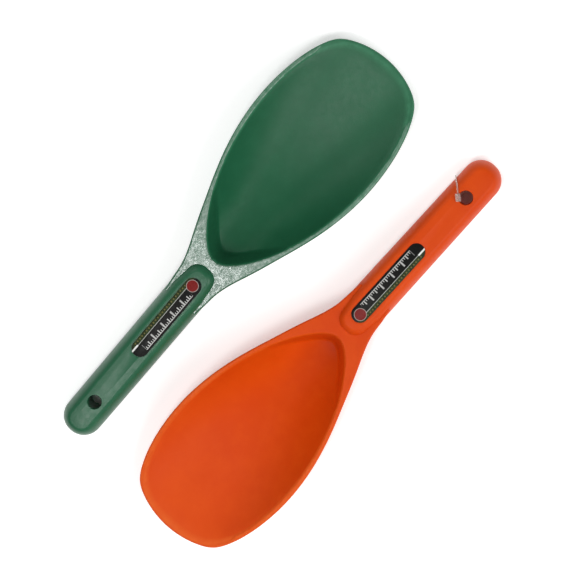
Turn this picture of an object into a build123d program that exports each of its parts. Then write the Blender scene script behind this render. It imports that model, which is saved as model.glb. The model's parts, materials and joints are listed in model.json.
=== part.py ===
"""A pair of moulded hand scoops lying head to tail, one green and one orange, in millimetres."""

import math
import os

from build123d import *

os.makedirs("parts", exist_ok=True)

# Scoop, seen from above: x runs from the handle end to the lip, z = 0 is the flat web at the neck.
LENGTH = 290.0
WALL = 2.4
FLANGE_T = 2.8
RIM_ROUND = 3.2

# Cavity outline and floor
CAVITY_X0 = 136.6
CAVITY_X1 = 286.6
FLOOR_DEPTH = 30.0
FLOOR_RISE = 4.5
NECK_DEPTH = 0.55
NECK_SLOPE = 4.2
FLOOR_BLEND = 3.5
DISH_SPREAD = 34.0
RIM_POWER = 2.2
LIP_EASE = 3.0

# Start of the flat web inside the handle, steps along the rim line, and a length past everything
WEB_X0 = 103.0
RIM_STEP = 12.0
REACH = 80.0

# Cross sections along the cavity, measured from its neck end, and the height they are closed at
STATIONS = (-3, -1, 1, 3, 5.5, 8.5, 12, 17, 24, 34, 48, 66, 86, 104, 120, 132, 141, 147, 152, 157)
LID_Z = 12.0

# Handle
HALF_END = 11.8
HALF_NECK = 12.4
END_ROUND = 11.4
NECK_X = 112.0
NOSE_X = 132.4
NOSE_HALF = 9.9
NOSE_ROUND = 9.7
TOP_Z = 4.0
SHOULDER_Z = -8.0
BOTTOM_Z = -14.5
SHOULDER_INSET = 6.3
LOW_NOSE_HALF = 8.8
LOW_NOSE_ROUND = 3.0
NECK_BLOCK = [(116.0, 10.2), (141.6, 8.6)]
HANDLE_WALL = 2.6
ROOF_T = 2.7
CORE_NOSE_HALF = 9.4
CORE_TOP_INSET = 6.0
RIB_T = 1.9
RIBS_X = (52.0, 78.0, 104.0)

# Hang hole
HOLE_X = 25.0
HOLE_R = 4.25
BOSS_R = 6.6

# Label and its recess
LABEL_X0 = 62.8
LABEL_X1 = 122.4
LABEL_HALF = 5.15
LABEL_T = 0.3
RECESS_DEPTH = 0.4
RECESS_GAP = 0.3

# Clear tag loop on the orange scoop, through the hang hole and round the side wall
FILAMENT_R = 0.45
LOCK_SIZE = (4.8, 3.2, 2.2)
LOCK_AT = (27.9, -3.5, 5.35)
LOCK_TURN = 49.0
LOOP_PATH = [
    (27.5, -3.9, 5.35),
    (25.6, -5.9, 5.0),
    (23.9, -7.8, 4.1),
    (22.4, -9.6, 2.4),
    (21.1, -11.3, -0.4),
    (20.2, -12.4, -4.4),
    (19.9, -12.65, -9.0),
    (20.0, -12.75, -14.0),
    (20.7, -11.5, -15.6),
    (22.0, -8.4, -15.45),
    (23.6, -5.2, -15.6),
    (25.0, -2.6, -13.6),
    (25.8, -2.6, -6.0),
    (26.6, -2.4, 1.5),
    (27.6, -2.7, 5.1),
]

# Where each scoop lies: the middle of its length and the way it points
SCOOPS = {"green": ((3.0, 42.2), 0.5), "orange": ((-1.0, -42.3), 178.75)}


def half_width(x):
    """Half width of the cavity at the rim."""
    s = (x - CAVITY_X0) / (CAVITY_X1 - CAVITY_X0)
    if s <= 0 or s >= 1:
        return 0.0
    swell = 1.08 - 0.32 * math.exp(-s / 0.18) + 0.04 * s**3
    return math.sqrt(x - CAVITY_X0) * (CAVITY_X1 - x) ** (1 / 3) * swell


def soft_min(a, b, k):
    h = max(k - abs(a - b), 0.0) / k
    return min(a, b) - h * h * k / 4


def along_bowl(x):
    return max((x - CAVITY_X0) / (CAVITY_X1 - CAVITY_X0), 0)


def floor_line(x):
    """Depth of the floor below the web, along the middle."""
    s = along_bowl(x)
    return FLOOR_DEPTH * (1 - (1 - NECK_DEPTH) * max(1 - s, 0) ** 3) - FLOOR_RISE * s**3


def rim_drop(x):
    """How far the rim has come down toward the floor."""
    return floor_line(x) * along_bowl(x) ** RIM_POWER


def depth(x, y):
    """Depth of the inside surface below the rim, smooth beyond the rim as well."""
    s = along_bowl(x)
    power = 2.3 + 0.7 * min(s, 1)
    last = CAVITY_X1 - LIP_EASE
    widest = half_width(min(max(x, CAVITY_X0 + DISH_SPREAD), last))
    if x > last:
        edge = widest**3 / LIP_EASE * (CAVITY_X1 - x)
        dish = (floor_line(last) - rim_drop(last)) / widest**3 * (edge - abs(y) ** 3)
    else:
        dish = (floor_line(x) - rim_drop(x)) * (1 - (abs(y) / widest) ** power)
    step = 0.5
    inner = min(max(x, CAVITY_X0 + step), CAVITY_X1 - 20)
    w2 = half_width(inner) ** 2
    slope2 = (half_width(inner + step) ** 2 - half_width(inner - step) ** 2) / (2 * step)
    w2 += slope2 * (x - inner) if x < inner else 0
    wall = NECK_SLOPE * (w2 - y * y) / math.hypot(slope2, 2 * y, 4.0)
    return soft_min(wall, dish, FLOOR_BLEND)


def inside(x, y):
    """Depth of the cavity below the web, with the rim eased over into the flat."""
    return rim_drop(x) - soft_min(-depth(x, y), 0.5, RIM_ROUND)


def outside(x, y):
    """Depth of the inside surface thickened by the wall, as a ball rolled over it would give."""
    best = max(depth(x, y), -6.0) + rim_drop(x) + WALL
    for i in range(12):
        turn = i * math.pi / 6
        for share in (0.4, 0.75, 0.95):
            there = (x + WALL * share * math.cos(turn), y + WALL * share * math.sin(turn))
            away = max(depth(*there), -6.0) + rim_drop(there[0])
            best = max(best, away + WALL * math.sqrt(1 - share * share))
    return best


def hollow(rule, spare):
    """Solid lying above a height rule, lofted through cross sections along the scoop."""
    sections = []
    for step in STATIONS:
        x = CAVITY_X0 + step
        half = half_width(min(max(x, CAVITY_X0), CAVITY_X1 - 4)) + spare
        spread = [half * math.sin(i * math.pi / 20) for i in range(-10, 11)]
        curve = Spline(*[(x, y, -rule(x, y)) for y in spread])
        low = -rule(x, half)
        lid = Polyline((x, half, low), (x, half, LID_Z), (x, -half, LID_Z), (x, -half, low))
        sections.append(make_face([curve, *lid.edges()]))
    return loft(sections)


def outline():
    """Plan of the flat rim and web, from inside the handle round the lip and back."""
    flank = [
        (104, 11.8),
        (112, 12.7),
        (120, 13.5),
        (128, 15.4),
        (144.4, 21.7),
        (162, 28.2),
        (180.5, 34.7),
        (203, 40.5),
        (227, 43.0),
        (247, 41.8),
        (262, 38.7),
        (273, 34.6),
        (280.5, 29.7),
        (286, 20.7),
        (LENGTH, 0),
    ]
    other = [(x, -y) for x, y in reversed(flank[:-1])]
    edge = Spline(*(flank + other), tangents=[(1, 0.02), (-1, 0.02)])
    return make_face([edge, Line(other[-1], flank[0])])


def handle_plan(inset=0.0, nose_x=NOSE_X, nose_half=NOSE_HALF, nose_round=NOSE_ROUND):
    pts = [
        (0, -HALF_END),
        (NECK_X, -HALF_NECK),
        (nose_x, -nose_half),
        (nose_x, nose_half),
        (NECK_X, HALF_NECK),
        (0, HALF_END),
    ]
    plan = make_face(Polyline(*pts, close=True))
    corners = plan.vertices()
    plan = fillet(corners.filter_by(lambda v: v.X < 1), END_ROUND)
    plan = fillet(plan.vertices().filter_by(lambda v: v.X > nose_x - 0.1), nose_round)
    if inset:
        plan = offset(plan, -inset, kind=Kind.ARC)
    return plan


def shoulder_inset(t):
    return SHOULDER_INSET * (1 - math.sqrt(max(0.0, 1 - t**1.7)))


def handle_outside():
    rise = TOP_Z - SHOULDER_Z
    steps = (0.0, 0.3, 0.55, 0.75, 0.88, 0.96, 1.0)
    rings = [Pos(0, 0, SHOULDER_Z + rise * t) * handle_plan(shoulder_inset(t)) for t in steps]
    top = loft(rings)
    low = Pos(0, 0, BOTTOM_Z) * handle_plan(0, CAVITY_X0 + 5, LOW_NOSE_HALF, LOW_NOSE_ROUND)
    mirrored = [(x, -y) for x, y in reversed(NECK_BLOCK)]
    neck = make_face(Polyline(*NECK_BLOCK, *mirrored, close=True))
    neck = Pos(0, 0, BOTTOM_Z) * extrude(neck, -BOTTOM_Z - FLANGE_T / 2)
    return top + extrude(low, SHOULDER_Z - BOTTOM_Z) + neck


def handle_core():
    long_plan = handle_plan(HANDLE_WALL, CAVITY_X0 - 1, CORE_NOSE_HALF, LOW_NOSE_ROUND)
    low = Pos(0, 0, BOTTOM_Z - 1) * extrude(long_plan, SHOULDER_Z - BOTTOM_Z + 1)
    roof = Pos(0, 0, TOP_Z - ROOF_T) * handle_plan(CORE_TOP_INSET)
    top = loft([Pos(0, 0, SHOULDER_Z) * long_plan, roof])
    core = low + top
    for x in RIBS_X:
        core -= Pos(x, 0, 0) * Box(RIB_T, REACH, REACH)
    return core - Pos(HOLE_X, 0, 0) * Cylinder(BOSS_R, REACH)


def label_plan(grow=0.0):
    long = LABEL_X1 - LABEL_X0 + 2 * grow
    middle = (LABEL_X0 + LABEL_X1) / 2
    return Pos(middle, 0) * SlotOverall(long, 2 * (LABEL_HALF + grow))


def below_rim(start, end):
    """Everything between two depths below the rim line, run across the scoop."""
    xs = [CAVITY_X0 + RIM_STEP * i for i in range(14)]
    steep = rim_drop(xs[-1] + 0.5) - rim_drop(xs[-1] - 0.5)
    ways = [(1, 0), (1, -steep)]
    high = Spline(*[(x, -rim_drop(x) - start) for x in xs], tangents=ways)
    low = Spline(*[(x, -rim_drop(x) - end) for x in xs], tangents=ways)
    back = Polyline(high @ 0, (WEB_X0, -start), (WEB_X0, -end), low @ 0)
    side = make_face([high, low, Line(high @ 1, low @ 1), *back.edges()])
    return extrude(Plane.XZ * side, REACH, both=True)


def scoop():
    bowl = hollow(outside, spare=4 + WALL) & below_rim(0, REACH)
    slab = below_rim(0, FLANGE_T)
    plan = extrude(outline(), REACH, both=True)
    body = (bowl + slab) & plan
    body += handle_outside()
    body -= hollow(inside, spare=3)
    body -= handle_core()
    recess = Pos(0, 0, TOP_Z - RECESS_DEPTH) * extrude(label_plan(RECESS_GAP), 5)
    hole = Pos(HOLE_X, 0, 0) * Cylinder(HOLE_R, REACH)
    return body - recess - hole


def label():
    return Pos(0, 0, TOP_Z - RECESS_DEPTH) * extrude(label_plan(), LABEL_T)


def tag_loop(radius=FILAMENT_R):
    path = Spline(*LOOP_PATH)
    return sweep(Plane(origin=path @ 0, z_dir=path % 0) * Circle(radius), path)


def tag_lock():
    block = fillet(Box(*LOCK_SIZE).edges(), 0.7)
    return Pos(*LOCK_AT) * Rot(0, 0, LOCK_TURN) * block - tag_loop(FILAMENT_R + 0.1)


def resting_tilt():
    """Angle at which the belly and the bottom of the handle end touch one flat plane."""
    slopes = [(outside(x, 0) + BOTTOM_Z) / x for x in range(140, 290)]
    return math.degrees(math.atan(max(slopes)))


moulding = scoop()
tilted = Pos(-LENGTH / 2, 0, 0) * Rot(0, -resting_tilt(), 0)
lift = Pos(0, 0, -(tilted * moulding).bounding_box().min.Z)
nodes = {}
for colour, (middle, heading) in SCOOPS.items():
    place = Pos(*middle) * Rot(0, 0, heading) * lift * tilted
    nodes[f"{colour}_scoop"] = place * moulding
    nodes[f"{colour}_label"] = place * label()
    if colour == "orange":
        nodes["tag_loop"] = place * tag_loop()
        nodes["tag_lock"] = place * tag_lock()

box = Compound(list(nodes.values())).bounding_box()
centre = Pos(-box.center().X, -box.center().Y, -box.min.Z)
for name, shape in nodes.items():
    export_step(centre * shape, f"parts/{name}.step")
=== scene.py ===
"""Scene for the pair of moulded hand scoops.

Shapes are worked out in millimetres along one scoop, with x from the handle end to the lip and
z = 0 at the flat web. They are then placed in the row frame, in metres.
"""
import json
import math

import bpy
import numpy as np
from mathutils import Matrix, Vector, kdtree


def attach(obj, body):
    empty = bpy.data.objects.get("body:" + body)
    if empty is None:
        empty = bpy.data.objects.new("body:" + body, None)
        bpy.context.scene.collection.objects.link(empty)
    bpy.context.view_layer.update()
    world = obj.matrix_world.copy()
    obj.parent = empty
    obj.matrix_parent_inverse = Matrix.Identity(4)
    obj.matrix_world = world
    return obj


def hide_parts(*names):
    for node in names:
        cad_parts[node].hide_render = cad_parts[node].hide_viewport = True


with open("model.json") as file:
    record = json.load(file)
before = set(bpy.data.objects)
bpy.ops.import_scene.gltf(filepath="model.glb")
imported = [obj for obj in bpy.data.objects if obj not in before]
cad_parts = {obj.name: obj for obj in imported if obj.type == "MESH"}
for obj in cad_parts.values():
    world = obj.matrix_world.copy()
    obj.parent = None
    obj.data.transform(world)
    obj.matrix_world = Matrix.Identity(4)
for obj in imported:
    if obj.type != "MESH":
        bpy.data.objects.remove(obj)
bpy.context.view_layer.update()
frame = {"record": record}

MM = 0.001
LENGTH = 290.0
WALL = 2.4
FLANGE_T = 2.8
CAVITY_X0 = 136.6
CAVITY_X1 = 286.6
FLOOR_DEPTH = 30.0
FLOOR_RISE = 4.5
NECK_DEPTH = 0.55
NECK_SLOPE = 4.2
FLOOR_BLEND = 3.5
DISH_SPREAD = 34.0
RIM_POWER = 2.2
LIP_EASE = 3.0
WALL_EASE = 4.0
RIM_ROUND = 3.0
BELLY_BLEND = 1.6
EDGE_ROUND_TOP = 1.1
EDGE_ROUND_LOW = 0.8
HALF_END = 11.8
END_ROUND = 11.4
HALF_NECK = 12.4
NECK_X = 112.0
NOSE_X = 132.4
NOSE_HALF = 9.9
NOSE_ROUND = 9.7
TOP_Z = 4.0
SHOULDER_Z = -8.0
BOTTOM_Z = -14.5
SHOULDER_INSET = 6.3
CROWN = 0.3
NECK_BLOCK = [(116, 10.2), (141.6, 8.6)]
HANDLE_WALL = 2.6
ROOF_T = 2.7
CORE_NOSE_HALF = 9.4
CORE_NOSE_ROUND = 3.0
CORE_TOP_INSET = 6.0
RIB_T = 1.9
RIBS_X = (52.0, 78.0, 104.0)
HOLE_X = 25.0
HOLE_R = 4.25
HOLE_ROUND = 0.6
BOSS_R = 6.6
LABEL_X0 = 62.8
LABEL_X1 = 122.4
LABEL_HALF = 5.15
LABEL_T = 0.3
LABEL_Z = TOP_Z - 0.4

# Cutting shapes reach past everything on each side
CUT_SIDE = 20.0
CUT_LOW = -30.0
CUT_TOP = 20.0

# Middle of each scoop's length in plan, in millimetres, and the way it points, in degrees
MIDDLES = {"green": (3.0, 42.2), "orange": (-1.0, -42.3)}
HEADINGS = {"green": 0.5, "orange": 178.75}

# The green hang hole in the frame gives the place of the pair and the tilt both scoops rest at
HANG_HOLE = next(m for m in frame["record"]["mounts"] if m["name"] == "green_hang_hole")
TILT = math.atan2(math.hypot(*HANG_HOLE["axis"][:2]), HANG_HOLE["axis"][2])


# ---------------------------------------------------------------- the bowl, as in the CAD


def half_width(x):
    s = np.clip((x - CAVITY_X0) / (CAVITY_X1 - CAVITY_X0), 0, 1)
    swell = 1.08 - 0.32 * np.exp(-s / 0.18) + 0.04 * s**3
    return np.sqrt(s) * np.cbrt(1 - s) * swell * (CAVITY_X1 - CAVITY_X0) ** (5 / 6)


def soft_min(a, b, k):
    h = np.maximum(k - np.abs(a - b), 0.0) / k
    return np.minimum(a, b) - h * h * k / 4


def along_bowl(x):
    return np.maximum((x - CAVITY_X0) / (CAVITY_X1 - CAVITY_X0), 0)


def floor_line(x):
    s = along_bowl(x)
    return FLOOR_DEPTH * (1 - (1 - NECK_DEPTH) * np.maximum(1 - s, 0) ** 3) - FLOOR_RISE * s**3


def rim_drop(x):
    """How far the rim has come down toward the floor."""
    return floor_line(x) * along_bowl(x) ** RIM_POWER


def depth(x, y):
    """Depth of the inside surface below the rim."""
    s = along_bowl(x)
    power = 2.3 + 0.7 * np.minimum(s, 1)
    last = CAVITY_X1 - LIP_EASE
    widest = half_width(np.clip(x, CAVITY_X0 + DISH_SPREAD, last))
    dish = (floor_line(x) - rim_drop(x)) * (1 - (np.abs(y) / widest) ** power)
    edge = widest**3 / LIP_EASE * (CAVITY_X1 - x)
    tip = (floor_line(last) - rim_drop(last)) / widest**3 * (edge - np.abs(y) ** 3)
    dish = np.where(x > last, tip, dish)
    inner = np.clip(x, CAVITY_X0 + 0.5, CAVITY_X1 - 20)
    w2 = half_width(inner) ** 2
    slope2 = half_width(inner + 0.5) ** 2 - half_width(inner - 0.5) ** 2
    w2 = w2 + np.where(x < inner, slope2 * (x - inner), 0)
    wall = NECK_SLOPE * (w2 - y * y) / np.sqrt(slope2**2 + 4 * y * y + WALL_EASE**2)
    return soft_min(wall, dish, FLOOR_BLEND)


def outside(x, y):
    """Depth of the outside skin below the web, a wall thickness away from the inside."""
    best = np.maximum(depth(x, y), -6.0) + rim_drop(x) + WALL
    for i in range(16):
        turn = i * math.pi / 8
        for share in (0.4, 0.75, 0.95):
            u, v = x + WALL * share * math.cos(turn), y + WALL * share * math.sin(turn)
            away = np.maximum(depth(u, v), -6.0) + rim_drop(u)
            best = np.maximum(best, away + WALL * math.sqrt(1 - share * share))
    return best


def spline(points, start, end, per_span):
    """Cubic spline through points, spaced by chord, with the given end directions."""
    p = np.array(points, float)
    h = np.linalg.norm(np.diff(p, axis=0), axis=1)
    n = len(p)
    a = np.zeros((n, n))
    b = np.zeros((n, 2))
    a[0, 0] = a[-1, -1] = 1
    b[0], b[-1] = start, end
    for i in range(1, n - 1):
        a[i, i - 1] = h[i]
        a[i, i] = 2 * (h[i - 1] + h[i])
        a[i, i + 1] = h[i - 1]
        rise = h[i] / h[i - 1] * (p[i] - p[i - 1]) + h[i - 1] / h[i] * (p[i + 1] - p[i])
        b[i] = 3 * rise
    m = np.linalg.solve(a, b)
    out = []
    for i in range(n - 1):
        for k in range(per_span):
            u = k / per_span
            out.append(
                (2 * u**3 - 3 * u**2 + 1) * p[i]
                + (u**3 - 2 * u**2 + u) * h[i] * m[i]
                + (3 * u**2 - 2 * u**3) * p[i + 1]
                + (u**3 - u**2) * h[i] * m[i + 1]
            )
    return np.array(out + [p[-1]])


FLANK = [
    (104, 11.8),
    (112, 12.7),
    (120, 13.5),
    (128, 15.4),
    (144.4, 21.7),
    (162, 28.2),
    (180.5, 34.7),
    (203, 40.5),
    (227, 43.0),
    (247, 41.8),
    (262, 38.7),
    (273, 34.6),
    (280.5, 29.7),
    (286, 20.7),
    (LENGTH, 0),
]
PER_SPAN = 60
OUTLINE = spline(FLANK + [(x, -y) for x, y in FLANK[-2::-1]], (1, 0.02), (-1, 0.02), PER_SPAN)
HALF_OUTLINE = OUTLINE[: PER_SPAN * (len(FLANK) - 1) + 1]


def run_along(points):
    """Distance from the first point to each point, along the line through them."""
    return np.concatenate([[0], np.cumsum(np.linalg.norm(np.diff(points, axis=0), axis=1))])


def mesh_from(name, verts, faces):
    me = bpy.data.meshes.new(name)
    me.from_pydata([tuple(v) for v in verts], [], [tuple(int(i) for i in f) for f in faces])
    me.update()
    return me


def rounding(away, radius):
    """How far a face has turned over at a distance from its edge, for a round edge."""
    gone = np.clip(radius - away, 0, radius)
    return radius - np.sqrt(np.maximum(radius**2 - gone**2, 0))


def bowl_mesh():
    """Bowl, rim and flat web as one closed skin."""
    run = run_along(HALF_OUTLINE)
    stations = np.linspace(0, run[-1], 330)[:-1]
    xs = np.interp(stations, run, HALF_OUTLINE[:, 0])
    ws = np.interp(stations, run, HALF_OUTLINE[:, 1])
    v = np.linspace(-1, 1, 161)
    u = 0.62 * v + 0.38 * np.sin(v * math.pi / 2)
    x = np.repeat(xs[:, None], len(u), 1)
    y = ws[:, None] * u[None, :]
    at = np.linspace(0, len(OUTLINE) - 1, len(OUTLINE) * 4)
    fine = np.column_stack([np.interp(at, range(len(OUTLINE)), OUTLINE[:, c]) for c in (0, 1)])
    tree = kdtree.KDTree(len(fine))
    for i, p in enumerate(fine):
        tree.insert((p[0], p[1], 0), i)
    tree.balance()
    away = np.array([[tree.find((a, b, 0))[2] for a, b in zip(ra, rb)] for ra, rb in zip(x, y)])
    drop = rim_drop(x)
    top = soft_min(-depth(x, y), 0.0, RIM_ROUND) - drop - rounding(away, EDGE_ROUND_TOP)
    low = soft_min(-outside(x, y), -drop - FLANGE_T, BELLY_BLEND) + rounding(away, EDGE_ROUND_LOW)
    low = np.minimum(low, top - 0.9)
    rows, cols = x.shape
    verts = np.concatenate([np.stack([x, y, z], -1).reshape(-1, 3) for z in (top, low)])
    n = rows * cols
    faces = []
    for i in range(rows - 1):
        for j in range(cols - 1):
            a = i * cols + j
            faces.append((a, a + cols, a + cols + 1, a + 1))
            faces.append((n + a, n + a + 1, n + a + cols + 1, n + a + cols))
        a, b = i * cols, i * cols + cols - 1
        faces.append((a, n + a, n + a + cols, a + cols))
        faces.append((b, b + cols, n + b + cols, n + b))
    for j in range(cols - 1):
        a, b = j, (rows - 1) * cols + j
        faces.append((a, a + 1, n + a + 1, n + a))
        faces.append((b, n + b, n + b + 1, b + 1))
    return mesh_from("bowl", verts, faces)


# ---------------------------------------------------------------- the handle


def rounded(points, radii, turn_steps=14, gap=4.0):
    """Outline with rounded corners as points and the inward direction at each."""
    n = len(points)
    out = []
    for i in range(n):
        p, a, b = (np.array(points[j % n], float) for j in (i, i - 1, i + 1))
        d1, d2 = (p - a) / np.linalg.norm(p - a), (b - p) / np.linalg.norm(b - p)
        cross = d1[0] * d2[1] - d1[1] * d2[0]
        turn = math.atan2(cross, d1 @ d2)
        r = radii[i]
        if r == 0:
            mid = d1 + d2
            mid /= np.linalg.norm(mid)
            out.append((p, np.array([-mid[1], mid[0]])))
            continue
        cut = r * math.tan(turn / 2)
        start = p - d1 * cut
        centre = start + np.array([-d1[1], d1[0]]) * r
        first = math.atan2(start[1] - centre[1], start[0] - centre[0])
        for k in range(turn_steps + 1):
            ang = first + turn * k / turn_steps
            away = np.array([math.cos(ang), math.sin(ang)])
            out.append((centre + away * r, -away))
    pts, dirs = [], []
    for i, (p, d) in enumerate(out):
        q, e = out[(i + 1) % len(out)]
        steps = max(1, int(np.linalg.norm(q - p) / gap))
        for k in range(steps):
            t = k / steps
            w = d * (1 - t) + e * t
            pts.append(p * (1 - t) + q * t)
            dirs.append(w / np.linalg.norm(w))
    return np.array(pts), np.array(dirs)


def handle_outline(nose_x=NOSE_X, nose_half=NOSE_HALF, nose_round=NOSE_ROUND):
    pts = [(0, -HALF_END), (NECK_X, -HALF_NECK), (nose_x, -nose_half)]
    pts += [(x, -y) for x, y in reversed(pts)]
    return rounded(pts, [END_ROUND, 0, nose_round, nose_round, 0, END_ROUND])


def ring_mesh(name, rings):
    """Closed skin through rings, each a list of (x, y, z) with the same count."""
    count = len(rings[0])
    verts = np.concatenate(rings)
    faces = []
    for r in range(len(rings) - 1):
        for i in range(count):
            a, b = r * count + i, r * count + (i + 1) % count
            faces.append((a, b, b + count, a + count))
    faces.append(tuple(range(count - 1, -1, -1)))
    top = (len(rings) - 1) * count
    faces.append(tuple(range(top, top + count)))
    return mesh_from(name, verts, faces)


def stacked(name, outline, levels):
    """Ring solid from one outline and (inset, z) levels."""
    pts, dirs = outline
    rings = []
    for inset, z in levels:
        flat = pts + dirs * inset
        rings.append(np.column_stack([flat, np.full(len(flat), z)]))
    return ring_mesh(name, rings)


def shoulder(z):
    t = np.clip((z - SHOULDER_Z) / (TOP_Z - SHOULDER_Z), 0, 1)
    return SHOULDER_INSET * (1 - math.sqrt(max(0.0, 1 - t**1.7)))


def handle_mesh():
    levels = [(0.5, BOTTOM_Z), (0.15, BOTTOM_Z + 0.15), (0.0, BOTTOM_Z + 0.5)]
    levels += [(0.0, z) for z in (-12.0, -10.0)]
    rise = TOP_Z - SHOULDER_Z
    for k in range(34):
        t = 1 - (1 - k / 33) ** 2
        levels.append((shoulder(SHOULDER_Z + rise * t), SHOULDER_Z + (rise - CROWN) * t))
    for k in range(1, 9):
        inset = SHOULDER_INSET + 3.0 * k / 8
        share = (HALF_NECK - inset) / (HALF_NECK - SHOULDER_INSET)
        levels.append((inset, TOP_Z - CROWN * share**2))
    return stacked("handle", handle_outline(), levels)


def circle(cx, cy, r, steps=64):
    a = np.linspace(0, 2 * math.pi, steps, endpoint=False)
    return np.column_stack([cx + r * np.cos(a), cy + r * np.sin(a)])


def lathe(name, cx, cy, levels, steps=64):
    rings = [np.column_stack([circle(cx, cy, r, steps), np.full(steps, z)]) for r, z in levels]
    return ring_mesh(name, rings)


def slot_points(grow, steps=24):
    r = LABEL_HALF + grow
    x0, x1 = LABEL_X0 + LABEL_HALF, LABEL_X1 - LABEL_HALF
    ends = []
    for x, start in ((x1, -math.pi / 2), (x0, math.pi / 2)):
        for a in np.linspace(start, start + math.pi, steps):
            ends.append((x + r * math.cos(a), r * math.sin(a)))
    return np.array(ends)


def slot_mesh(name, levels):
    rings = []
    for grow, z in levels:
        p = slot_points(grow)
        rings.append(np.column_stack([p, np.full(len(p), z)]))
    return ring_mesh(name, rings)


def box_mesh(name, lo, hi):
    (a, b, c), (d, e, f) = lo, hi
    low = [(a, b, c), (d, b, c), (d, e, c), (a, e, c)]
    return ring_mesh(name, [np.array(low, float), np.array([(x, y, f) for x, y, _ in low], float)])


def core_mesh():
    """What is hollowed out of the handle from below."""
    low, low_in = handle_outline(CAVITY_X0 - 1, CORE_NOSE_HALF, CORE_NOSE_ROUND)
    high, high_in = handle_outline()
    base = low + low_in * HANDLE_WALL
    top = high + high_in * CORE_TOP_INSET
    n = 220

    def even(p):
        q = np.vstack([p, p[:1]])
        run = run_along(q)
        at = np.linspace(0, run[-1], n, endpoint=False)
        return np.column_stack([np.interp(at, run, q[:, 0]), np.interp(at, run, q[:, 1])])

    base, top = even(base), even(top)
    rings = [(base, BOTTOM_Z - 1), (base, SHOULDER_Z)]
    for k in range(1, 9):
        t = k / 8
        rise = (TOP_Z - ROOF_T - SHOULDER_Z) * math.sin(t * math.pi / 2)
        rings.append((base * (1 - t) + top * t, SHOULDER_Z + rise))
    return ring_mesh("core", [np.column_stack([p, np.full(n, z)]) for p, z in rings])


def solid(me):
    o = bpy.data.objects.new(me.name, me)
    bpy.context.scene.collection.objects.link(o)
    return o


def combine(base, *steps):
    """Applies union and difference steps, and returns the mesh."""
    for how, other in steps:
        mod = base.modifiers.new(how, "BOOLEAN")
        mod.operation = how
        mod.object = other
        mod.solver = "MANIFOLD"
    bpy.context.view_layer.update()
    graph = bpy.context.evaluated_depsgraph_get()
    me = bpy.data.meshes.new_from_object(base.evaluated_get(graph))
    for o in [base] + [o for _, o in steps]:
        bpy.data.objects.remove(o)
    return me


def neck_cavity():
    """The cavity near the neck, a little larger, to trim what would stand through the wall."""
    side = 60
    x, y = np.meshgrid(np.linspace(130, 150, side), np.linspace(-15, 15, side), indexing="ij")
    low = soft_min(-depth(x, y), 0.0, RIM_ROUND) - rim_drop(x) - 0.9
    n = x.size
    verts = np.concatenate([np.stack([x, y, z], -1).reshape(-1, 3) for z in (low, np.full_like(x, 12.0))])
    faces = []
    for i in range(side - 1):
        for j in range(side - 1):
            a = i * side + j
            faces.append((a, a + 1, a + side + 1, a + side))
            faces.append((n + a, n + a + side, n + a + side + 1, n + a + 1))
        for a, step, outward in (
            (i * side, side, True),
            (i * side + side - 1, side, False),
            (i, 1, False),
            ((side - 1) * side + i, 1, True),
        ):
            wall = (a, a + step, n + a + step, n + a)
            faces.append(wall if outward else wall[::-1])
    return mesh_from("cavity", verts, faces)


def moulding_mesh():
    """The whole scoop: bowl, handle and neck joined, then cored, bored and recessed."""
    core = solid(core_mesh())
    kept = []
    for x in RIBS_X:
        low, high = (x - RIB_T / 2, -CUT_SIDE, CUT_LOW), (x + RIB_T / 2, CUT_SIDE, CUT_TOP)
        kept.append(box_mesh("rib", low, high))
    kept.append(lathe("boss", HOLE_X, 0, [(BOSS_R, CUT_LOW), (BOSS_R, CUT_TOP)]))
    core = solid(combine(core, *(("DIFFERENCE", solid(me)) for me in kept)))
    neck = [(x, -y) for x, y in NECK_BLOCK] + NECK_BLOCK[::-1]
    levels = (BOTTOM_Z + 0.03, -FLANGE_T / 2)
    neck = ring_mesh("neck", [np.array([(x, y, z) for x, y in neck]) for z in levels])
    neck = combine(solid(neck), ("DIFFERENCE", solid(neck_cavity())))
    bore = [(HOLE_R + out, BOTTOM_Z + up) for out, up in ((1.15, -1.5), (0.5, 0), (0.15, 0.15), (0, 0.5))]
    for k in range(8):
        a = k / 7 * math.pi / 2
        bore.append((HOLE_R + HOLE_ROUND * (1 - math.cos(a)), TOP_Z - HOLE_ROUND * (1 - math.sin(a))))
    bore.append((HOLE_R + 0.7, TOP_Z + 1.5))
    recess = [(0.28, LABEL_Z), (0.34, LABEL_Z + LABEL_T), (0.5, TOP_Z - 0.02), (0.62, TOP_Z + 0.8)]
    return combine(
        solid(bowl_mesh()),
        ("UNION", solid(handle_mesh())),
        ("UNION", solid(neck)),
        ("DIFFERENCE", core),
        ("DIFFERENCE", solid(lathe("bore", HOLE_X, 0, bore, 96))),
        ("DIFFERENCE", solid(slot_mesh("recess", recess))),
    )


def hole_in_plan(colour):
    """Middle of a scoop's hang hole seen from above, before the pair is centred, in millimetres."""
    heading = math.radians(HEADINGS[colour])
    reach = HOLE_X * math.cos(TILT) - (TOP_Z + BOTTOM_Z) / 2 * math.sin(TILT) - LENGTH / 2
    x, y = MIDDLES[colour]
    return Vector((x + reach * math.cos(heading), y + reach * math.sin(heading), 0))


def hole_middle(colour):
    """Middle of a scoop's hang hole in the row frame, in metres."""
    return Vector(HANG_HOLE["pos_m"]) + (hole_in_plan(colour) - hole_in_plan("green")) * MM


def placement(colour):
    """Where that scoop lies, from the middle of its hang hole."""
    heading = math.radians(HEADINGS[colour])
    ahead = Vector((math.cos(heading), math.sin(heading), 0))
    side = Vector((-math.sin(heading), math.cos(heading), 0))
    along = ahead * math.cos(TILT) + Vector((0, 0, math.sin(TILT)))
    up = along.cross(side)
    m = Matrix((along, side, up)).transposed().to_4x4()
    m.translation = hole_middle(colour) - (along * HOLE_X + up * ((TOP_Z + BOTTOM_Z) / 2)) * MM
    return m


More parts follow.
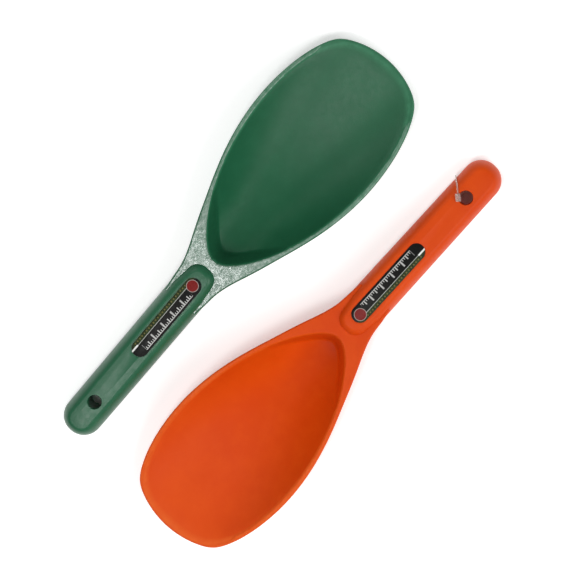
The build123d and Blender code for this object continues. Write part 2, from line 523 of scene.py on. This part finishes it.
def points_of(me):
    co = np.empty(len(me.vertices) * 3, dtype=np.float32)
    me.vertices.foreach_get("co", co)
    return co


def smooth(me, degrees):
    """Smooth shading, with edges sharper than an angle kept crisp."""
    for poly in me.polygons:
        poly.use_smooth = True
    me.set_sharp_from_angle(angle=math.radians(degrees))


def place(me, name, colour, *nodes):
    """One piece in the row frame, standing for CAD nodes. Its points keep their scoop coordinates."""
    spot = me.attributes.new("spot", "FLOAT_VECTOR", "POINT")
    spot.data.foreach_set("vector", points_of(me))
    me.transform(placement(colour) @ Matrix.Scale(MM, 4))
    o = bpy.data.objects.new(name, me)
    bpy.context.scene.collection.objects.link(o)
    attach(o, colour)
    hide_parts(*nodes)
    return o


# ---------------------------------------------------------------- materials


def material(name):
    m = bpy.data.materials.new(name)
    m.use_nodes = True
    nt = m.node_tree
    nt.nodes.clear()
    out = nt.nodes.new("ShaderNodeOutputMaterial")
    bsdf = nt.nodes.new("ShaderNodeBsdfPrincipled")
    nt.links.new(bsdf.outputs[0], out.inputs[0])
    return m, nt, bsdf


def noise(nt, where, scale, detail=4.0, rough=0.5):
    n = nt.nodes.new("ShaderNodeTexNoise")
    n.inputs["Scale"].default_value = scale
    n.inputs["Detail"].default_value = detail
    n.inputs["Roughness"].default_value = rough
    nt.links.new(where, n.inputs["Vector"])
    return n.outputs["Fac"]


def remap(nt, value, a, b, c, d):
    n = nt.nodes.new("ShaderNodeMapRange")
    n.inputs["From Min"].default_value = a
    n.inputs["From Max"].default_value = b
    n.inputs["To Min"].default_value = c
    n.inputs["To Max"].default_value = d
    nt.links.new(value, n.inputs["Value"])
    return n.outputs["Result"]


def maths(nt, how, a, b=None):
    n = nt.nodes.new("ShaderNodeMath")
    n.operation = how
    for i, v in enumerate((a, b)):
        if v is None:
            continue
        if isinstance(v, (int, float)):
            n.inputs[i].default_value = v
        else:
            nt.links.new(v, n.inputs[i])
    return n.outputs[0]


def mix(nt, factor, a, b):
    n = nt.nodes.new("ShaderNodeMix")
    n.data_type = "RGBA"
    if isinstance(factor, (int, float)):
        n.inputs[0].default_value = factor
    else:
        nt.links.new(factor, n.inputs[0])
    for i, c in ((6, a), (7, b)):
        if isinstance(c, tuple):
            n.inputs[i].default_value = (*c, 1.0)
        else:
            nt.links.new(c, n.inputs[i])
    return n.outputs[2]


def attribute(nt, name, output="Fac"):
    """A value kept with the points of the mesh."""
    n = nt.nodes.new("ShaderNodeAttribute")
    n.attribute_name = name
    return n.outputs[output]


def plan(nt, where):
    """Scoop x and y out of the scoop coordinates, in millimetres."""
    split = nt.nodes.new("ShaderNodeSeparateXYZ")
    nt.links.new(where, split.inputs[0])
    return split.outputs[0], split.outputs[1]


def bumped(nt, bsdf, height, distance=0.001):
    bump = nt.nodes.new("ShaderNodeBump")
    bump.inputs["Strength"].default_value = 1.0
    bump.inputs["Distance"].default_value = distance
    nt.links.new(height, bump.inputs["Height"])
    nt.links.new(bump.outputs[0], bsdf.inputs["Normal"])


def both(nt, a, b):
    return maths(nt, "MULTIPLY", a, b)


def plastic(name, base, dark, light, edge, rough, glare, shine, web_shine):
    """Satin moulding compound: flow streaks, fine grain, a paler rim and lip (part wear, part painted
    highlight), patchy gloss on the web.
    """
    m, nt, bsdf = material(name)
    where = attribute(nt, "spot", "Vector")
    x, _ = plan(nt, where)
    web = attribute(nt, "web")
    rim_wear_and_sheen = attribute(nt, "edge")

    rub_and_sheen = both(nt, rim_wear_and_sheen, remap(nt, noise(nt, where, 0.25, 4.0, 0.6), 0.3, 0.7, 0.45, 1.0))
    broad = noise(nt, where, 0.018, 3.0)
    flow = noise(nt, where, 0.09, 5.0, 0.6)
    speck = noise(nt, where, 1.7, 2.0, 0.5)
    tint = mix(nt, remap(nt, broad, 0.3, 0.7, 0.0, 1.0), dark, base)
    tint = mix(nt, remap(nt, flow, 0.45, 0.8, 0.0, 0.35), tint, light)
    # Rim band and outer web toward the lip mixed toward the paler edge colour: part wear, part painted
    # highlight
    tint = mix(nt, maths(nt, "MULTIPLY", rub_and_sheen, 0.75), tint, edge)
    tint = mix(nt, remap(nt, speck, 0.68, 0.78, 0.0, 0.3), tint, light)
    nt.links.new(tint, bsdf.inputs["Base Color"])

    # Roughness: fine scuffs, a duller bowl, mottled web
    scuff = noise(nt, where, 0.35, 6.0, 0.7)
    mottle = remap(nt, noise(nt, where, 0.6, 6.0, 0.75), 0.36, 0.64, -0.14, 0.08)
    gloss = remap(nt, scuff, 0.35, 0.7, rough - 0.05, rough + 0.07)
    gloss = maths(nt, "ADD", gloss, remap(nt, x, 136.0, 160.0, 0.0, 0.1))
    gloss = maths(nt, "ADD", gloss, both(nt, web, mottle))
    nt.links.new(gloss, bsdf.inputs["Roughness"])

    # Relief in millimetres: grain everywhere, coarser pebbles on the web
    grain = noise(nt, where, 2.2, 3.0, 0.6)
    pebble = noise(nt, where, 0.8, 5.0, 0.65)
    high = maths(nt, "MULTIPLY", grain, 0.02)
    high = maths(nt, "ADD", high, maths(nt, "MULTIPLY", both(nt, pebble, web), glare))
    bumped(nt, bsdf, high)

    # Gloss: patches on the web, less of it in the neck end of the bowl
    patch = remap(nt, noise(nt, where, 0.24, 5.0, 0.7), 0.36, 0.62, web_shine * 0.45, web_shine * 1.35)
    sheen = maths(nt, "ADD", both(nt, web, patch), shine)
    deep = both(nt, remap(nt, x, 138.0, 150.0, 0.0, 0.6), remap(nt, x, 190.0, 235.0, 1.0, 0.0))
    deep = both(nt, deep, maths(nt, "SUBTRACT", 1.0, web))
    sheen = both(nt, sheen, maths(nt, "SUBTRACT", 1.0, deep))
    nt.links.new(sheen, bsdf.inputs["Specular IOR Level"])
    bsdf.inputs["IOR"].default_value = 1.5
    bsdf.inputs["Subsurface Weight"].default_value = 0.06
    bsdf.inputs["Subsurface Radius"].default_value = (0.002, 0.001, 0.0006)
    bsdf.inputs["Subsurface Scale"].default_value = 0.5
    return m


def band(nt, value, low, high, soft=0.06):
    """1 between low and high, softened a little at both sides."""
    up = remap(nt, value, low - soft, low + soft, 0.0, 1.0)
    down = remap(nt, value, high - soft, high + soft, 1.0, 0.0)
    return maths(nt, "MULTIPLY", up, down)


def comb(nt, value, pitch, width, phase=0.0):
    """Marks of a given width repeated at a pitch."""
    turn = maths(nt, "FRACT", maths(nt, "DIVIDE", maths(nt, "SUBTRACT", value, phase), pitch))
    return band(nt, turn, 0.5 - width / pitch / 2, 0.5 + width / pitch / 2, 0.04)


def distance_from(nt, x, y, middle):
    """Distance in plan from a point on the label."""
    dx = maths(nt, "SUBTRACT", x, middle[0])
    dy = maths(nt, "SUBTRACT", y, middle[1])
    return maths(nt, "SQRT", maths(nt, "ADD", both(nt, dx, dx), both(nt, dy, dy)))


# Label layout in scoop millimetres: graduation marks as pitch, width, phase and top, then the roundel
MARKS = ((9.0, 0.75, 2.2, 0.55), (4.5, 0.6, 4.45, -0.9), (1.5, 0.42, -0.05, -2.1))
MARK_FOOT = -3.4
BASE_LINE = -3.75
ROUNDEL = (117.3, 0.3)
ROUNDEL_R = 3.45
ROUNDEL_RING_R = 3.75


def label_print():
    """Dark sticker with a ruled line, a row of ticks, graduation marks and a plain red roundel."""
    m, nt, bsdf = material("label_print")
    where = attribute(nt, "spot", "Vector")
    x, y = plan(nt, where)
    ink = noise(nt, where, 1.3, 4.0, 0.6)
    inked = remap(nt, ink, 0.3, 0.7, 0.0, 1.0)
    black = mix(nt, inked, (0.003, 0.003, 0.003), (0.008, 0.008, 0.007))
    faded = remap(nt, noise(nt, where, 0.6, 4.0), 0.35, 0.65, 0.0, 1.0)
    moss = mix(nt, faded, (0.012, 0.018, 0.007), (0.035, 0.05, 0.018))
    tint = mix(nt, band(nt, y, 2.2, 9.0), black, moss)

    gold = both(nt, both(nt, comb(nt, x, 2.1, 0.8), band(nt, y, 3.35, 4.2)), band(nt, x, 67.0, 116.0))
    tint = mix(nt, both(nt, gold, remap(nt, ink, 0.3, 0.7, 0.4, 0.9)), tint, (0.20, 0.17, 0.05))
    rule = both(nt, band(nt, y, 1.98, 2.26), band(nt, x, 64.0, 114.5))
    tint = mix(nt, maths(nt, "MULTIPLY", rule, 0.85), tint, (0.55, 0.56, 0.52))
    tick = both(nt, band(nt, y, 1.75, 2.75), band(nt, x, 62.0, 68.6))
    tint = mix(nt, tick, tint, (0.72, 0.73, 0.70))

    body = band(nt, x, 70.0, 113.0, 0.1)
    marks = band(nt, y, BASE_LINE, MARK_FOOT)
    for pitch, width, phase, top in MARKS:
        row = both(nt, comb(nt, x, pitch, width, phase), band(nt, y, MARK_FOOT, top))
        marks = maths(nt, "MAXIMUM", marks, row)
    marks = both(nt, both(nt, marks, body), remap(nt, ink, 0.25, 0.6, 0.7, 1.0))
    tint = mix(nt, marks, tint, (0.58, 0.58, 0.56))

    # A band that starts below zero is a full disc
    far = distance_from(nt, x, y, ROUNDEL)
    tint = mix(nt, band(nt, far, -9, ROUNDEL_RING_R), tint, (0.35, 0.30, 0.27))
    red = mix(nt, inked, (0.13, 0.009, 0.009), (0.20, 0.016, 0.014))
    tint = mix(nt, band(nt, far, -9, ROUNDEL_R), tint, red)

    nt.links.new(tint, bsdf.inputs["Base Color"])
    gloss = remap(nt, noise(nt, where, 0.5, 5.0, 0.7), 0.3, 0.7, 0.34, 0.5)
    nt.links.new(gloss, bsdf.inputs["Roughness"])
    bumped(nt, bsdf, maths(nt, "MULTIPLY", noise(nt, where, 0.25, 3.0), 0.06))
    bsdf.inputs["IOR"].default_value = 1.46
    bsdf.inputs["Specular IOR Level"].default_value = 0.12
    return m


def clear(name, tint, rough, through):
    """Clear nylon: faint clouding, fine drawn streaks and a soft gloss."""
    m, nt, bsdf = material(name)
    where = attribute(nt, "spot", "Vector")
    cloud = noise(nt, where, 0.8, 4.0, 0.6)
    pale = tuple(min(1.0, c * 1.12) for c in tint)
    nt.links.new(mix(nt, remap(nt, cloud, 0.3, 0.7, 0.0, 1.0), tint, pale), bsdf.inputs["Base Color"])
    gloss = remap(nt, noise(nt, where, 3.0, 3.0), 0.3, 0.7, rough, rough + 0.15)
    nt.links.new(gloss, bsdf.inputs["Roughness"])
    bumped(nt, bsdf, maths(nt, "MULTIPLY", noise(nt, where, 2.5, 2.0), 0.04))
    bsdf.inputs["Transmission Weight"].default_value = through
    bsdf.inputs["IOR"].default_value = 1.45
    return m


# ---------------------------------------------------------------- pieces


def mark_areas(me):
    """Keeps with the points how much each belongs to the flat web and to the rim and lip that are painted
    paler, part wear and part painted highlight.
    """
    x, y, z = points_of(me).reshape(-1, 3).T
    inward = depth(x, y)
    above = z + rim_drop(x)
    web = (np.abs(above) < 0.12) & (inward < -1.0)
    # Rim band and outer web toward the lip, later painted paler: part wear, part painted highlight
    near_rim = np.clip(1 - np.abs(inward + 0.3) / 1.4, 0, 1) * (np.abs(above) < 2.0)
    near_lip = np.clip((x - 150) / 60, 0, 1) * (inward < -1.2) * (z > -rim_drop(x) - 1.6)
    for name, value in (("web", web), ("edge", np.maximum(near_rim, 0.8 * near_lip))):
        layer = me.attributes.new(name, "FLOAT", "POINT")
        layer.data.foreach_set("value", value.astype(np.float32))


def label_mesh():
    """Sticker with a rounded-over rim, bedded in its recess."""
    levels = [(-0.02, 0.0), (0.0, 0.05), (0.0, 0.22), (-0.03, 0.27), (-0.1, LABEL_T)]
    return slot_mesh("label", [(grow, LABEL_Z + up) for grow, up in levels])


PLASTICS = {
    "green": {
        "base": (0.013, 0.101, 0.045),
        "dark": (0.009, 0.082, 0.036),
        "light": (0.020, 0.124, 0.059),
        "edge": (0.04, 0.20, 0.10),
        "rough": 0.38,
        "glare": 0.1,
        "shine": 0.32,
        "web_shine": 1.1,
    },
    "orange": {
        "base": (0.61, 0.061, 0.002),
        "dark": (0.55, 0.046, 0.001),
        "light": (0.66, 0.080, 0.004),
        "edge": (0.68, 0.12, 0.015),
        "rough": 0.46,
        "glare": 0.03,
        "shine": 0.13,
        "web_shine": 0.0,
    },
}

moulding = moulding_mesh()
mark_areas(moulding)
smooth(moulding, 32)
stick = label_print()
for colour, look in PLASTICS.items():
    me = moulding.copy()
    me.materials.clear()
    me.materials.append(plastic(f"{colour}_plastic", **look))
    o = place(me, f"{colour}_moulding", colour, f"{colour}_scoop")
    me = label_mesh()
    smooth(me, 32)
    me.materials.append(stick)
    o = place(me, f"{colour}_sticker", colour, f"{colour}_label")


LOOP_PATH = [
    (27.5, -3.9, 5.35),
    (25.6, -5.9, 5.0),
    (23.9, -7.8, 4.1),
    (22.4, -9.6, 2.4),
    (21.1, -11.3, -0.4),
    (20.2, -12.4, -4.4),
    (19.9, -12.65, -9.0),
    (20.0, -12.75, -14.0),
    (20.7, -11.5, -15.6),
    (22.0, -8.4, -15.45),
    (23.6, -5.2, -15.6),
    (25.0, -2.6, -13.6),
    (25.8, -2.6, -6.0),
    (26.6, -2.4, 1.5),
    (27.6, -2.7, 5.1),
]
FILAMENT_R = 0.42
LOCK_AT = Vector((27.9, -3.5, 5.35))
LOCK_TURN = 49.0
LOCK_HALF = (2.4, 1.6)
LOCK_ROUND = 0.7


def smooth_path(points, per_span=10):
    """Centripetal curve through the points, as an open run of finer points."""
    p = np.array(points, float)
    p = np.vstack([2 * p[0] - p[1], p, 2 * p[-1] - p[-2]])
    out = []
    for i in range(1, len(p) - 2):
        a, b, c, d = p[i - 1 : i + 3]
        t = np.cumsum([0] + [np.linalg.norm(q - r) ** 0.5 for q, r in ((b, a), (c, b), (d, c))])
        for k in range(per_span):
            u = t[1] + (t[2] - t[1]) * k / per_span
            a1 = (t[1] - u) / (t[1] - t[0]) * a + (u - t[0]) / (t[1] - t[0]) * b
            a2 = (t[2] - u) / (t[2] - t[1]) * b + (u - t[1]) / (t[2] - t[1]) * c
            a3 = (t[3] - u) / (t[3] - t[2]) * c + (u - t[2]) / (t[3] - t[2]) * d
            b1 = (t[2] - u) / (t[2] - t[0]) * a1 + (u - t[0]) / (t[2] - t[0]) * a2
            b2 = (t[3] - u) / (t[3] - t[1]) * a2 + (u - t[1]) / (t[3] - t[1]) * a3
            out.append((t[2] - u) / (t[2] - t[1]) * b1 + (u - t[1]) / (t[2] - t[1]) * b2)
    return np.array(out + [p[-2]])


def tube_mesh(name, path, radius, steps=14):
    """Round filament along a path."""
    way = np.gradient(path, axis=0)
    way /= np.linalg.norm(way, axis=1)[:, None]
    side = np.cross(way[0], (0, 0, 1.0))
    rings = []
    for p, d in zip(path, way):
        side = side - d * (side @ d)
        side /= np.linalg.norm(side)
        other = np.cross(d, side)
        a = np.linspace(0, 2 * math.pi, steps, endpoint=False)[:, None]
        rings.append(p + radius * (np.cos(a) * side + np.sin(a) * other))
    return ring_mesh(name, rings)


def lock_mesh():
    """Small moulded catch: a rounded block with a shallow waist round its sides."""
    upper = [(0.14, 0.2), (0.0, 0.5), (0.03, 0.75), (0.2, 0.98), (0.55, 1.1)]
    levels = [(inset, -z) for inset, z in reversed(upper)] + upper
    x, y = LOCK_HALF
    pts = [(-x, -y), (x, -y), (x, y), (-x, y)]
    me = stacked("lock", rounded(pts, [LOCK_ROUND] * 4, 8, 0.6), levels)
    me.transform(Matrix.Translation(LOCK_AT) @ Matrix.Rotation(math.radians(LOCK_TURN), 4, "Z"))
    return me


nylon = clear("clear_filament", (0.86, 0.80, 0.74), 0.12, 0.82)
catch = clear("clear_lock", (0.93, 0.87, 0.82), 0.2, 0.85)
filament = tube_mesh("loop", smooth_path(LOOP_PATH), FILAMENT_R)
for me, name, cad, slot, paint in (
    (filament, "tag_filament", "tag_loop", "clear_filament", nylon),
    (lock_mesh(), "tag_catch", "tag_lock", "clear_lock", catch),
):
    smooth(me, 50)
    me.materials.append(paint)
    o = place(me, name, "orange", cad)

# ---------------------------------------------------------------- camera, light, floor


CAMERA_TURN = math.radians(180.6)
CAMERA_TILT = math.radians(8.11)
CAMERA_ROLL = math.radians(-49.01)
CAMERA_AWAY = 3.2
CAMERA_AIM = Vector((0.0083, -0.0022, 0.015))
CAMERA_LENS = 339.2


def camera():
    """Long lens nearly straight above, rolled so that the pair lies on the diagonal."""
    ahead = Vector((math.cos(CAMERA_TURN), math.sin(CAMERA_TURN), 0))
    look = ahead * math.sin(CAMERA_TILT) - Vector((0, 0, math.cos(CAMERA_TILT)))
    level = look.cross(Vector((0, 1, 0))).normalized()
    upward = level.cross(look)
    right = level * math.cos(CAMERA_ROLL) + upward * math.sin(CAMERA_ROLL)
    up = upward * math.cos(CAMERA_ROLL) - level * math.sin(CAMERA_ROLL)
    m = Matrix((right, up, -look)).transposed().to_4x4()
    m.translation = CAMERA_AIM - look * CAMERA_AWAY
    data = bpy.data.cameras.new("camera")
    data.lens = CAMERA_LENS
    data.sensor_width = 36
    data.clip_end = 20
    o = bpy.data.objects.new("camera", data)
    bpy.context.scene.collection.objects.link(o)
    o.matrix_world = m
    bpy.context.scene.camera = o


def lamp(name, at, aim, size, power):
    """Square soft light at one point, turned to another. It lights the pair and stays out of the picture."""
    data = bpy.data.lights.new(name, "AREA")
    data.size = size
    data.energy = power
    o = bpy.data.objects.new(name, data)
    bpy.context.scene.collection.objects.link(o)
    o.location = at
    o.rotation_euler = (Vector(aim) - Vector(at)).to_track_quat("-Z", "Y").to_euler()
    o.visible_camera = False


def sky(strength):
    world = bpy.data.worlds.new("world")
    bpy.context.scene.world = world
    world.use_nodes = True
    background = world.node_tree.nodes["Background"]
    background.inputs[0].default_value = (1, 1, 1, 1)
    background.inputs[1].default_value = strength


def pale_floor(half, glow):
    """Plain floor with a faint glow of its own; the glow is left out right under each hang hole, a painted
    shade that keeps the hole dark.
    """
    corners = [(-half, -half, 0), (half, -half, 0), (half, half, 0), (-half, half, 0)]
    me = mesh_from("floor", corners, [(0, 1, 2, 3)])
    o = bpy.data.objects.new("floor", me)
    bpy.context.scene.collection.objects.link(o)
    o.location.z = -0.0002
    m, nt, bsdf = material("floor")
    bsdf.inputs["Base Color"].default_value = (0.92, 0.92, 0.92, 1)
    bsdf.inputs["Roughness"].default_value = 0.85
    bsdf.inputs["Emission Color"].default_value = (1, 1, 1, 1)
    where = nt.nodes.new("ShaderNodeTexCoord").outputs["Object"]
    # Glow cut to nothing close under each hang hole: painted shade there
    for colour in HEADINGS:
        near = nt.nodes.new("ShaderNodeVectorMath")
        near.operation = "DISTANCE"
        near.inputs[1].default_value = (*hole_middle(colour).xy, 0.0)
        nt.links.new(where, near.inputs[0])
        glow = maths(nt, "MULTIPLY", remap(nt, near.outputs["Value"], 0.006, 0.011, 0.0, 1.0), glow)
    nt.links.new(glow, bsdf.inputs["Emission Strength"])
    me.materials.append(m)
    return o


camera()
lamp("sheen", (-0.53, -0.04, 1.4), (0.0, 0.02, 0.02), 0.36, 7.5)
lamp("side", (0.35, -1.3, 1.35), (0.0, 0.0, 0.02), 1.3, 22)
lamp("far", (0.3, 1.5, 1.2), (0.0, 0.0, 0.02), 1.0, 7)
sky(0.36)
floor = pale_floor(6, 0.34)
bpy.context.scene.view_settings.view_transform = "Standard"
